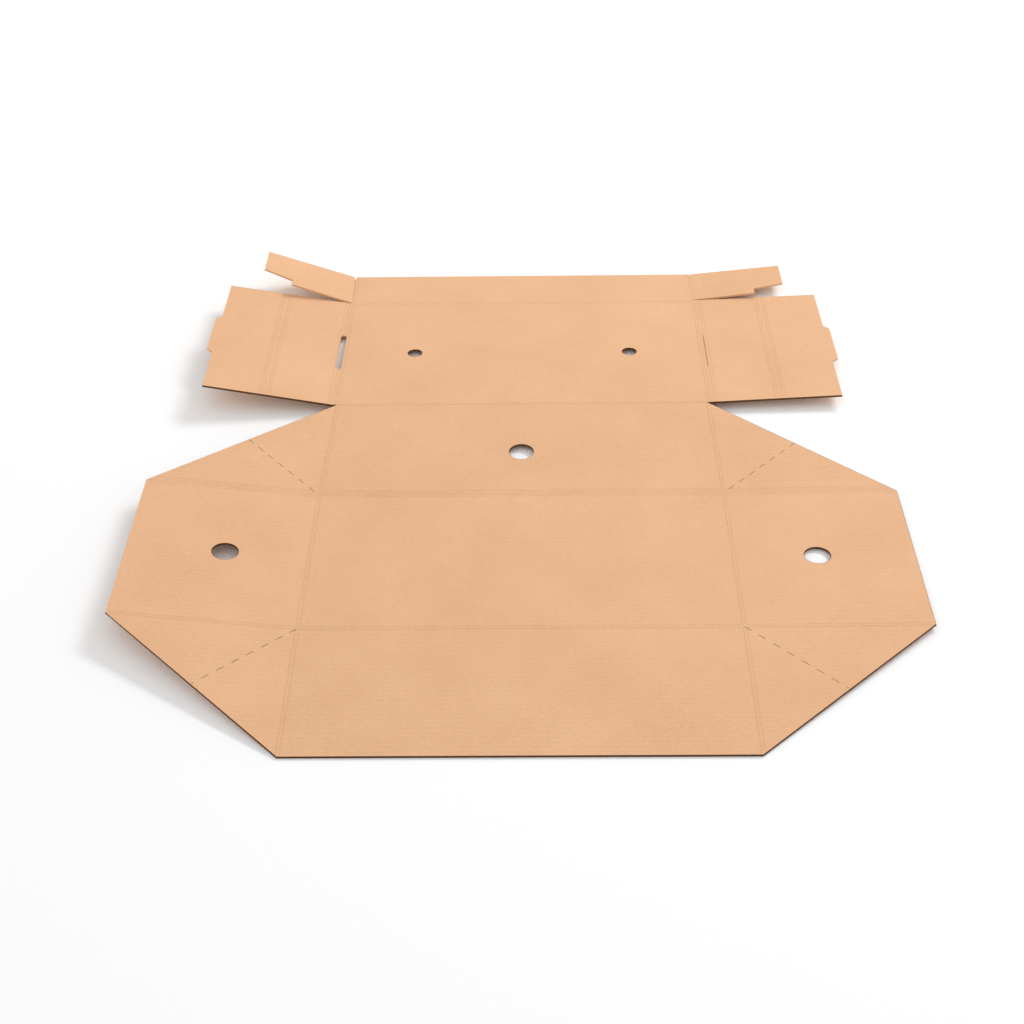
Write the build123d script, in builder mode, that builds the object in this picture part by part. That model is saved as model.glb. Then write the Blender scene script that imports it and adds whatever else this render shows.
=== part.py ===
# Die-cut corrugated box blank, opened out flat: one sheet of E-flute board with a bottom, four
# walls joined by folding corner webs, and a hinged lid with a lip, ears and lock flaps.
# It lies inside up, slightly sprung along its creases, on its front and back edges.
# Millimetres. +X to the right, +Y from the front edge to the back edge, +Z up.
from build123d import *
from math import sqrt
import os

# ---- Board ---------------------------------------------------------------------------------
BOARD = 1.3          # caliper of the board
BEAD = 0.7           # radius of the raised bead along a crease
BEAD_STOP = 5        # a bead ends this far from a free edge that rests on the floor
LAP = 0.3            # a hinged panel starts this far inside its fold, so that the board runs through
EAR_LAP = 1.5        # the same for an ear, which folds more sharply
EAR_LAP_STOP = 20    # and an ear's lap ends this far from the sheet's edge, clear of the floor

# ---- Cut sizes of the flat sheet -------------------------------------------------------------
HALF_WIDTH = 125.0   # centre line to the side creases of the bottom
FRONT = 99.0         # front wall, free edge to crease
BOTTOM = 127.5       # bottom, crease to crease
BACK = 95.5          # back wall, crease to crease
LID = 138.5          # lid, crease to crease
LIP = 43.0           # tuck-in lip past the lid
WING = 106.5         # end wall, crease to free edge
RIDGE_HALF = 122.5   # centre line to the notch where back wall and lid meet
FLAP_FOLD = 125.8    # centre line to the fold of the lock flaps
EAR_FOLD = 124.3     # centre line to the fold of the ears
FLAP_REACH = 212.0   # centre line to the free edge of the lock flaps
EAR_REACH = 190.0    # centre line to the free end of the ears

# ---- Lock flap, ear, tab and slot ------------------------------------------------------------
FLAP_LOW = 3.9       # the flap's front corner stands this far back from the ridge
FLAP_TOP_IN = 141.2  # back edge of the flap at its fold
FLAP_TOP_OUT = 144.0 # back edge of the flap at its free end
TAB_PROUD = 4.0      # the tab past the flap's free edge
TAB_ENDS = (48.5, 97.5)
TAB_BEVEL = 3.5
SLIT = 0.7           # slit that frees the ear from the flap
STEP_AT = 168.6      # the slit widens into a notch here
STEP_RISE = 6.5
EAR_TAPER = 4.0      # the ear narrows by this from the notch to its end
SLOT_WIDTH = 3.9
SLOT_LENGTH = 46.5
SLOT_CENTRE = 69.8

# ---- Punched holes ---------------------------------------------------------------------------
WALL_HOLE = 15.6     # diameter, back wall and both end walls
LID_HOLE = 10.0      # diameter, the pair in the lid
LID_HOLE_SIDE = 74.3
LID_HOLE_BACK = 67.6
BACK_HOLE_UP = 43.2
WING_HOLE_OUT = 49.2

# ---- How the sheet lies ----------------------------------------------------------------------
FRONT_CREASE_RISE = 1.4   # each crease above the height of the resting edges
BACK_CREASE_RISE = 0.4
RIDGE_RISE = 4.9
LEFT, RIGHT = -1, 1
WING_LIFT = {LEFT: 7.1, RIGHT: 0.5}    # degrees above the panel each one folds on
FLAP_LIFT = {LEFT: 9.2, RIGHT: 1.5}
EAR_LIFT = {LEFT: 19.5, RIGHT: 6.0}

REST = BOARD / 2     # middle of the board above the floor where an edge rests on it


def run(length, drop):
    """Level distance covered by a panel of this length whose ends differ in height by drop."""
    return sqrt(length**2 - drop**2)


def spine_panel(near, far):
    """Plane of a panel that reaches across the sheet from one X-wise crease to the next."""
    along = (far - near).normalized()
    return Plane(origin=near, x_dir=(1, 0, 0), z_dir=Vector(1, 0, 0).cross(along))


def hinged(parent, x, y, side, lift):
    """Plane of a panel that folds up about a line parallel to its parent's Y, through (x, y)."""
    hinge = Plane(origin=parent.from_local_coords(Vector(x, y, 0)),
                  x_dir=parent.x_dir, z_dir=parent.z_dir)
    return hinge.rotated((0, -side * lift, 0))


def plate(plane, points):
    """Add one flat panel, half the board's thickness to each side of its plane."""
    with BuildSketch(plane) as outline:
        with BuildLine():
            Polyline(*points, close=True)
        make_face()
    extrude(outline.sketch, amount=BOARD / 2, both=True)


def web(corner, wall_end, wing_end):
    """Add one corner web, the three-sided panel between a wall and an end wall."""
    normal = (wall_end - corner).cross(wing_end - corner).normalized()
    plane = Plane(origin=corner, x_dir=(wall_end - corner), z_dir=normal)
    plate(plane, [plane.to_local_coords(p) for p in (corner, wall_end, wing_end)])


def bead(start, end):
    """Add the rounded bead that a crease raises along its length."""
    with BuildSketch(Plane(origin=start, z_dir=end - start)) as section:
        Circle(BEAD)
    extrude(section.sketch, amount=(end - start).length)


def punch(plane, diameter, places):
    """Cut round holes through a panel."""
    with BuildSketch(plane) as holes:
        with Locations(*places):
            Circle(diameter / 2)
    extrude(holes.sketch, amount=3 * BOARD, both=True, mode=Mode.SUBTRACT)


# Crease lines on the centre line of the sheet, at mid thickness.
front_crease = Vector(0, 0, REST + FRONT_CREASE_RISE)
front_edge = Vector(0, -run(FRONT, FRONT_CREASE_RISE), REST)
back_crease = Vector(0, run(BOTTOM, FRONT_CREASE_RISE - BACK_CREASE_RISE), REST + BACK_CREASE_RISE)
ridge = back_crease + Vector(0, run(BACK, RIDGE_RISE - BACK_CREASE_RISE), RIDGE_RISE - BACK_CREASE_RISE)
back_edge = Vector(0, ridge.Y + run(LID + LIP, RIDGE_RISE), REST)

front_plane = spine_panel(front_edge, front_crease)
bottom_plane = spine_panel(front_crease, back_crease)
back_plane = spine_panel(back_crease, ridge)
lid_plane = spine_panel(ridge, back_edge)

EAR_LOW = LID + (FLAP_TOP_IN - LID) + SLIT
FLAP_SLOPE = (FLAP_TOP_OUT - FLAP_TOP_IN) / (FLAP_REACH - FLAP_FOLD)
STEP_LOW = EAR_LOW + FLAP_SLOPE * (STEP_AT - EAR_FOLD)

with BuildPart() as box_blank:
    plate(front_plane, [(-HALF_WIDTH, 0), (HALF_WIDTH, 0), (HALF_WIDTH, FRONT), (-HALF_WIDTH, FRONT)])
    plate(bottom_plane, [(-HALF_WIDTH, 0), (HALF_WIDTH, 0), (HALF_WIDTH, BOTTOM), (-HALF_WIDTH, BOTTOM)])
    plate(back_plane, [(-HALF_WIDTH, 0), (HALF_WIDTH, 0), (RIDGE_HALF, BACK), (-RIDGE_HALF, BACK)])
    plate(lid_plane, [
        (-RIDGE_HALF, 0), (RIDGE_HALF, 0), (FLAP_FOLD, 0.2), (FLAP_FOLD, FLAP_TOP_IN),
        (EAR_FOLD, FLAP_TOP_IN), (EAR_FOLD, LID + LIP), (-EAR_FOLD, LID + LIP),
        (-EAR_FOLD, FLAP_TOP_IN), (-FLAP_FOLD, FLAP_TOP_IN), (-FLAP_FOLD, 0.2),
    ])
    wing_planes = {}
    for side in (LEFT, RIGHT):
        # End wall, hinged on the bottom.
        wing = hinged(bottom_plane, side * HALF_WIDTH, 0, side, WING_LIFT[side])
        wing_planes[side] = wing
        plate(wing, [(-side * LAP, 0), (side * WING, 0), (side * WING, BOTTOM), (-side * LAP, BOTTOM)])

        # Corner webs between the end wall and the front and back walls.
        near_corner = wing.from_local_coords(Vector(0, 0, 0))
        far_corner = wing.from_local_coords(Vector(0, BOTTOM, 0))
        near_tip = wing.from_local_coords(Vector(side * WING, 0, 0))
        far_tip = wing.from_local_coords(Vector(side * WING, BOTTOM, 0))
        front_end = front_plane.from_local_coords(Vector(side * HALF_WIDTH, 0, 0))
        ridge_end = back_plane.from_local_coords(Vector(side * RIDGE_HALF, BACK, 0))
        web(near_corner, front_end, near_tip)
        web(far_corner, ridge_end, far_tip)

        # Lock flap with its tab, hinged on the lid.
        flap = hinged(lid_plane, side * FLAP_FOLD, 0, side, FLAP_LIFT[side])
        reach = FLAP_REACH - FLAP_FOLD
        low, high = TAB_ENDS
        plate(flap, [(side * u, v) for u, v in (
            (-LAP, 0.2), (reach, FLAP_LOW), (reach, low), (reach + TAB_PROUD, low + TAB_BEVEL),
            (reach + TAB_PROUD, high - TAB_BEVEL), (reach, high), (reach, FLAP_TOP_OUT), (-LAP, FLAP_TOP_IN),
        )])

        # Ear, hinged on the lip.
        ear = hinged(lid_plane, side * EAR_FOLD, 0, side, EAR_LIFT[side])
        step = STEP_AT - EAR_FOLD
        end = EAR_REACH - EAR_FOLD
        plate(ear, [(side * u, v) for u, v in (
            (-EAR_LAP, EAR_LOW), (step, STEP_LOW), (step, STEP_LOW + STEP_RISE),
            (end, STEP_LOW + STEP_RISE + EAR_TAPER), (end, LID + LIP), (0, LID + LIP),
            (-EAR_LAP, LID + LIP - EAR_LAP_STOP),
        )])

        # Beads of the creases that meet at this side.
        bead(near_corner, far_corner)
        bead(near_corner, front_plane.from_local_coords(Vector(side * HALF_WIDTH, BEAD_STOP, 0)))
        bead(far_corner, ridge_end)
        bead(near_corner, near_tip)
        bead(far_corner, far_tip)
        bead(flap.from_local_coords(Vector(0, 1, 0)), flap.from_local_coords(Vector(0, FLAP_TOP_IN, 0)))
        bead(ear.from_local_coords(Vector(0, EAR_LOW, 0)),
             ear.from_local_coords(Vector(0, LID + LIP - BEAD_STOP, 0)))

    # Beads of the creases that run across the sheet.
    for middle, half in ((front_crease, HALF_WIDTH), (back_crease, HALF_WIDTH), (ridge, RIDGE_HALF)):
        bead(middle - Vector(half, 0, 0), middle + Vector(half, 0, 0))

    # Vent holes.
    punch(lid_plane, LID_HOLE, [(-LID_HOLE_SIDE, LID_HOLE_BACK), (LID_HOLE_SIDE, LID_HOLE_BACK)])
    punch(back_plane, WALL_HOLE, [(0, BACK_HOLE_UP)])
    for side in (LEFT, RIGHT):
        punch(wing_planes[side], WALL_HOLE, [(side * WING_HOLE_OUT, BOTTOM / 2)])

    # Lock slot on the left fold; the one on the right still holds its knock-out.
    with BuildSketch(lid_plane):
        with Locations((LEFT * FLAP_FOLD, SLOT_CENTRE)):
            SlotOverall(SLOT_LENGTH, SLOT_WIDTH, rotation=90)
    extrude(amount=3 * BOARD, both=True, mode=Mode.SUBTRACT)

# The sheet is placed with the middle of its outer box over the origin and its lowest face at Z = 0.
box = box_blank.part.bounding_box()
blank = Pos(-box.center().X, -box.center().Y, -box.min.Z) * box_blank.part
blank.label = "box_blank"

os.makedirs("parts", exist_ok=True)
export_step(blank, "parts/box_blank.step")
print(len(blank.solids()), blank.is_valid, round(blank.volume), box)
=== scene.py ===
"""Flattened corrugated box blank, lying open on a white floor.

Metres, in the frame's axes: +X to the right, +Y from the front wall's free edge to the lip's,
+Z up. The frame's origin is the middle of the outer box, so the sheet's own middle line lies
a little to the left of it.
"""
from math import pi, radians

import bpy
from mathutils import Matrix, Vector


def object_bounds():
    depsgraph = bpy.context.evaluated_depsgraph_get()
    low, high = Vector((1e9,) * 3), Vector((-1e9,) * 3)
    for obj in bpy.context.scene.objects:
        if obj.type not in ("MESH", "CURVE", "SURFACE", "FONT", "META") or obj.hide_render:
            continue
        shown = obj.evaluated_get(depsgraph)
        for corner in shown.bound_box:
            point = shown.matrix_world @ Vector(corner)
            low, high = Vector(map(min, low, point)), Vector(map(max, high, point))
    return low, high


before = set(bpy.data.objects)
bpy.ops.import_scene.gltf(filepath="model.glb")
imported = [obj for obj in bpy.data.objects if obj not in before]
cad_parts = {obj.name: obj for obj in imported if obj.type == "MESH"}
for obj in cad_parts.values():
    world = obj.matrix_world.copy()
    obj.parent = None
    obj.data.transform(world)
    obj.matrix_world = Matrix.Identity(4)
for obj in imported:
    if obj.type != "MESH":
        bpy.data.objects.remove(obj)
frame_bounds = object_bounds()
bpy.ops.object.select_all(action="DESELECT")

low_corner, high_corner = frame_bounds
TIP = high_corner[0]          # outer edge of the end walls
FRONT_EDGE = low_corner[1]    # free edge of the front wall
LIP_EDGE = high_corner[1]     # free edge of the lip

MIDDLE = -0.0003              # X of the sheet's middle line
HALF_WIDTH = 0.125            # middle line to the side creases
RIDGE_HALF = 0.1225           # half the width of the sheet where back wall and lid meet
FRONT_CREASE = -0.1527        # front wall to bottom
BACK_CREASE = -0.0252         # bottom to back wall
RIDGE = 0.0702                # back wall to lid
LIP_CREASE = 0.2087           # lid to lip
FLAP_TOP = 0.2125             # rear edge of the lock flaps


class Value:
    """A shader socket that takes part in ordinary sums."""

    def __init__(self, socket):
        self.socket = socket

    @staticmethod
    def node(kind, sockets, **settings):
        """Add a node to the board's material: its settings, then its sockets' values or links."""
        new = tree.nodes.new("ShaderNode" + kind)
        for name, setting in settings.items():
            setattr(new, name, setting)
        for key, value in sockets.items():
            if isinstance(value, Value):
                tree.links.new(value.socket, new.inputs[key])
            else:
                new.inputs[key].default_value = value
        return new

    def math(self, operation, *others):
        sockets = dict(enumerate((self, *others)))
        return Value(Value.node("Math", sockets, operation=operation).outputs[0])

    def __add__(self, other):
        return self.math("ADD", other)

    def __sub__(self, other):
        return self.math("SUBTRACT", other)

    def __mul__(self, other):
        return self.math("MULTIPLY", other)

    __radd__ = __add__
    __rmul__ = __mul__

    def __rsub__(self, other):
        return self * -1 + other

    def __abs__(self):
        return self.math("ABSOLUTE")

    def __mod__(self, period):
        return self.math("FLOORED_MODULO", period)

    def larger(self, other):
        return self.math("MAXIMUM", other)

    def over(self, start, end):
        """0 at start and 1 at end, smoothly between them and held beyond."""
        sockets = {"Value": self, "From Min": start, "From Max": end}
        return Value(Value.node("MapRange", sockets, interpolation_type="SMOOTHSTEP").outputs["Result"])


# Kraft board: an uncoated liner with fine fibres, soft clouds and specks, over the faint
# washboard of the fluting, which runs across the sheet, painted into the colour as faint bands of
# painted light and shade as well as set in the bump. Its lines are placed by X and Y
# alone, because the sheet lies nearly flat.
FLUTE_PITCH = 0.0035
KRAFT_DARK = (0.640, 0.350, 0.180, 1)
KRAFT_PALE = (0.860, 0.520, 0.310, 1)
# Dark of the cut edges, hole walls and cut lines: partly the fluting, partly painted shade.
CUT_FLUTE_AND_SHADE = (0.105, 0.045, 0.020, 1)
BUMP_DEPTH = 0.0002

kraft = bpy.data.materials.new("kraft_board")
kraft.use_nodes = True
tree = kraft.node_tree
place = Value(Value.node("TexCoord", {}).outputs["Object"])
axes = Value.node("SeparateXYZ", {0: place})
x = Value(axes.outputs["X"])
y = Value(axes.outputs["Y"])


def noise(scale, detail, squeeze=(1, 1, 1)):
    """Noise about zero, its grains squeezed by these factors along X, Y and Z."""
    squeezed = Value(Value.node("Mapping", {"Vector": place, "Scale": squeeze}).outputs[0])
    sockets = {"Vector": squeezed, "Scale": scale, "Detail": detail, "Roughness": 0.6}
    return Value(Value.node("TexNoise", sockets).outputs["Fac"]) - 0.5


def beyond(start, end):
    """Distance from the line through start and end, positive to the right of it."""
    along = (Vector(end) - Vector(start)).normalized()
    return x * along.y - y * along.x - (start[0] * along.y - start[1] * along.x)


def stroke(start, end, half, soft):
    """1 within half of the line from start to end, fading to 0 over soft."""
    span = Vector(end) - Vector(start)
    along = span.normalized()
    way = x * along.x + y * along.y - along.dot(Vector(start))
    beside = abs(beyond(start, end)).over(half + soft, half)
    return beside * way.over(-soft, soft) * way.over(span.length + soft, span.length - soft)


fibre = noise(scale=420, detail=4, squeeze=(1, 3.2, 1))
cloud = noise(scale=16, detail=5)
speck = noise(scale=900, detail=2)
# flute: the washboard's ripple; in the colour it gives faint painted light and shade.
flute = (y * (2 * pi / FLUTE_PITCH)).math("SINE")

# Creases: each is a crest painted pale, a painted highlight, between two flanks painted darker, painted
# shade. The crease behind the bottom and the folds at the lid's sides and across its lock flaps are
# double.
END_WALL_CREASE = 0.231       # how far the bottom's creases run out along the end walls
BACK_BAND = (-0.001, 0.003)   # the two lines of the back crease, from its middle
BACK_BAND_ENDS = (END_WALL_CREASE, 0.228)
EAR_FOLD = 0.1235
FLAP_FOLD = 0.128
FLAP_MIDDLE_FOLDS = (0.1684, 0.1733)
FLAP_FRONT = RIDGE + 0.003    # front edge of the lock flaps at their middle folds

creases = [
    ((-END_WALL_CREASE, FRONT_CREASE), (END_WALL_CREASE, FRONT_CREASE)),
    ((-RIDGE_HALF, RIDGE), (RIDGE_HALF, RIDGE)),
    ((-EAR_FOLD, LIP_CREASE), (EAR_FOLD, LIP_CREASE)),
]
for offset, end in zip(BACK_BAND, BACK_BAND_ENDS):
    creases.append(((-end, BACK_CREASE + offset), (end, BACK_CREASE + offset)))
for side in (-1, 1):
    wall = MIDDLE + side * HALF_WIDTH
    creases += [
        ((wall, FRONT_EDGE), (wall, BACK_CREASE)),
        ((wall, BACK_CREASE), (side * RIDGE_HALF, RIDGE)),
        ((side * EAR_FOLD, RIDGE), (side * EAR_FOLD, LIP_EDGE)),
        ((side * FLAP_FOLD, RIDGE), (side * FLAP_FOLD, FLAP_TOP)),
    ]
    for fold in FLAP_MIDDLE_FOLDS:
        creases.append(((side * fold, FLAP_FRONT), (side * fold, FLAP_TOP)))

# crest carries the painted highlight of each crease, flank its painted shade.
crest = stroke(*creases[0], half=0.0003, soft=0.0004)
flank = stroke(*creases[0], half=0.0008, soft=0.0014)
for ends in creases[1:]:
    crest = crest.larger(stroke(*ends, half=0.0003, soft=0.0004))
    flank = flank.larger(stroke(*ends, half=0.0008, soft=0.0014))

# Cuts: the outer side of the knock-out that is still in the right lock slot, and the dashed
# perforations that cross the corner webs at 45 degrees from the bottom's corners. Their dark is partly
# the fluting and partly painted shade in the slits.
KNOCK_OUT = ((0.1267, RIDGE + 0.046), (0.1267, RIDGE + 0.089))
WEB_FOLD = 0.0505             # how far a perforation runs, along X and along Y
DASH_PERIOD = 0.0071          # a cut and a bridge, along Y
DASH_START = (0.0033, 0.0037)

cuts = stroke(*KNOCK_OUT, half=0.0001, soft=0.0002)
for side in (-1, 1):
    for crease, way in ((FRONT_CREASE, -1), (BACK_CREASE, 1)):
        start = (MIDDLE + side * HALF_WIDTH, crease)
        end = (start[0] + side * WEB_FOLD, crease + way * WEB_FOLD)
        dash = ((y - crease) % DASH_PERIOD).over(*DASH_START)
        cuts = cuts.larger(stroke(start, end, half=0.00012, soft=0.00025) * dash * 0.9)

# Cut edges: painted dark, partly for the fluting between the liners and partly as painted shade on
# edges turned from the light behind the sheet. They are the strip just inside the outline of the walls,
# webs and lock flaps, and the walls of the round holes.
EDGE_STRIP = (-0.0003, -0.0001)     # where the dark starts and is full, from the outline
FLAP_NEAR = (0.1255, RIDGE + 0.0002)
FLAP_FAR = (0.2117, RIDGE + 0.0039)
HOLE_RIM = (0.00025, 0.0001)
WALL_HOLE = 0.0078                  # radius, in the back wall and the end walls
LID_HOLE = 0.005                    # radius, the pair in the lid
END_WALL_HOLES = (FRONT_CREASE + BACK_CREASE) / 2
HOLES = [
    (MIDDLE - 0.0743, 0.1378, LID_HOLE),
    (MIDDLE + 0.0743, 0.1378, LID_HOLE),
    (MIDDLE, 0.0180, WALL_HOLE),
    (MIDDLE - 0.1738, END_WALL_HOLES, WALL_HOLE),
    (MIDDLE + 0.1742, END_WALL_HOLES, WALL_HOLE),
]

edge = y.over(FRONT_EDGE + 0.0003, FRONT_EDGE + 0.0001)
for side in (-1, 1):
    outline = [
        (MIDDLE + side * HALF_WIDTH, FRONT_EDGE),
        (side * TIP, FRONT_CREASE),
        (side * TIP, BACK_CREASE),
        (MIDDLE + side * RIDGE_HALF, RIDGE),
    ]
    walls = y.over(RIDGE, RIDGE - 0.0003)
    for start, end in zip(outline, outline[1:]):
        edge = edge.larger((beyond(start, end) * side).over(*EDGE_STRIP) * walls)
    flaps = y.over(RIDGE - 0.0001, RIDGE + 0.0001)
    flap_edge = beyond((side * FLAP_NEAR[0], FLAP_NEAR[1]), (side * FLAP_FAR[0], FLAP_FAR[1]))
    edge = edge.larger((flap_edge * side).over(*EDGE_STRIP) * flaps)
for hole_x, hole_y, radius in HOLES:
    across = x - hole_x
    along = y - hole_y
    away = (across * across + along * along).math("SQRT")
    edge = edge.larger(away.over(radius + HOLE_RIM[0], radius + HOLE_RIM[1]))

# Colour: fibres, clouds and specks, with painted highlight on the crease crests, painted shade on their
# flanks and faint painted light and shade of the washboard.
paint = Value.node("ValToRGB", {
    "Fac": fibre * 0.80 + cloud * 0.60 + speck * 0.30 + flute * 0.025
    + crest * 0.22 - flank * 0.16 + 0.5,
})
paint.color_ramp.elements[0].color = KRAFT_DARK
paint.color_ramp.elements[1].color = KRAFT_PALE
# Cut edges, hole walls and cut lines are mixed towards the dark of the fluting and painted shade.
colour = Value.node("Mix", {
    0: edge.larger(cuts * 0.75),
    6: Value(paint.outputs["Color"]),
    7: CUT_FLUTE_AND_SHADE,
}, data_type="RGBA")
relief = Value.node("Bump", {
    "Strength": 0.5,
    "Distance": BUMP_DEPTH,
    "Height": flute * 0.25 + fibre * 0.6 + crest * 2.0 - flank * 1.2 - cuts * 2.5,
})
surface = tree.nodes["Principled BSDF"]
surface.inputs["Roughness"].default_value = 0.86
surface.inputs["Specular IOR Level"].default_value = 0.25
tree.links.new(colour.outputs[2], surface.inputs["Base Color"])
tree.links.new(relief.outputs["Normal"], surface.inputs["Normal"])

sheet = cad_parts["box_blank"]
sheet.data.materials.clear()
sheet.data.materials.append(kraft)

# Floor: a broad white surface that runs past the picture on every side and takes the
# sheet's shadow.
bpy.ops.mesh.primitive_plane_add(size=12)
floor = bpy.context.object
floor.name = "floor"
white = bpy.data.materials.new("floor_white")
white.use_nodes = True
white_surface = white.node_tree.nodes["Principled BSDF"]
white_surface.inputs["Base Color"].default_value = (0.96, 0.96, 0.96, 1)
white_surface.inputs["Roughness"].default_value = 0.9
floor.data.materials.append(white)

# Light: a long narrow window behind the sheet and to its right, in a white room that fills
# the shadows.
world = bpy.data.worlds.new("room")
bpy.context.scene.world = world
world.use_nodes = True
room = world.node_tree.nodes["Background"]
room.inputs["Color"].default_value = (1, 1, 1, 1)
room.inputs["Strength"].default_value = 0.82

WINDOW_DIRECTION = Vector((0.80, 0.96, 1.0))
WINDOW_DISTANCE = 2.4
bpy.ops.object.light_add(type="AREA")
window = bpy.context.object
window.data.shape = "RECTANGLE"
window.data.size = 1.3
window.data.size_y = 0.35
window.data.energy = 26
window.location = WINDOW_DIRECTION.normalized() * WINDOW_DISTANCE
window.rotation_euler = window.location.to_track_quat("Z", "Y").to_euler()

# Camera: a long lens in front of the sheet, looking down on it. Its own axes are
# turned upright first, so that pitch, roll and yaw are read from the horizon.
CAMERA_PLACE = (0.010035, -0.881101, 0.628575)
YAW = 1.083
PITCH = -36.807
ROLL = 1.022
bpy.ops.object.camera_add()
camera = bpy.context.object
camera.data.sensor_width = 36
camera.data.lens = 60.3
camera.location = CAMERA_PLACE
upright = Matrix.Rotation(radians(90), 4, "X")
aim = Matrix.Rotation(radians(YAW), 4, "Z") @ Matrix.Rotation(radians(PITCH), 4, "X")
camera.rotation_euler = (aim @ Matrix.Rotation(radians(ROLL), 4, "Y") @ upright).to_euler()
bpy.context.scene.camera = camera
bpy.context.scene.view_settings.view_transform = "Standard"
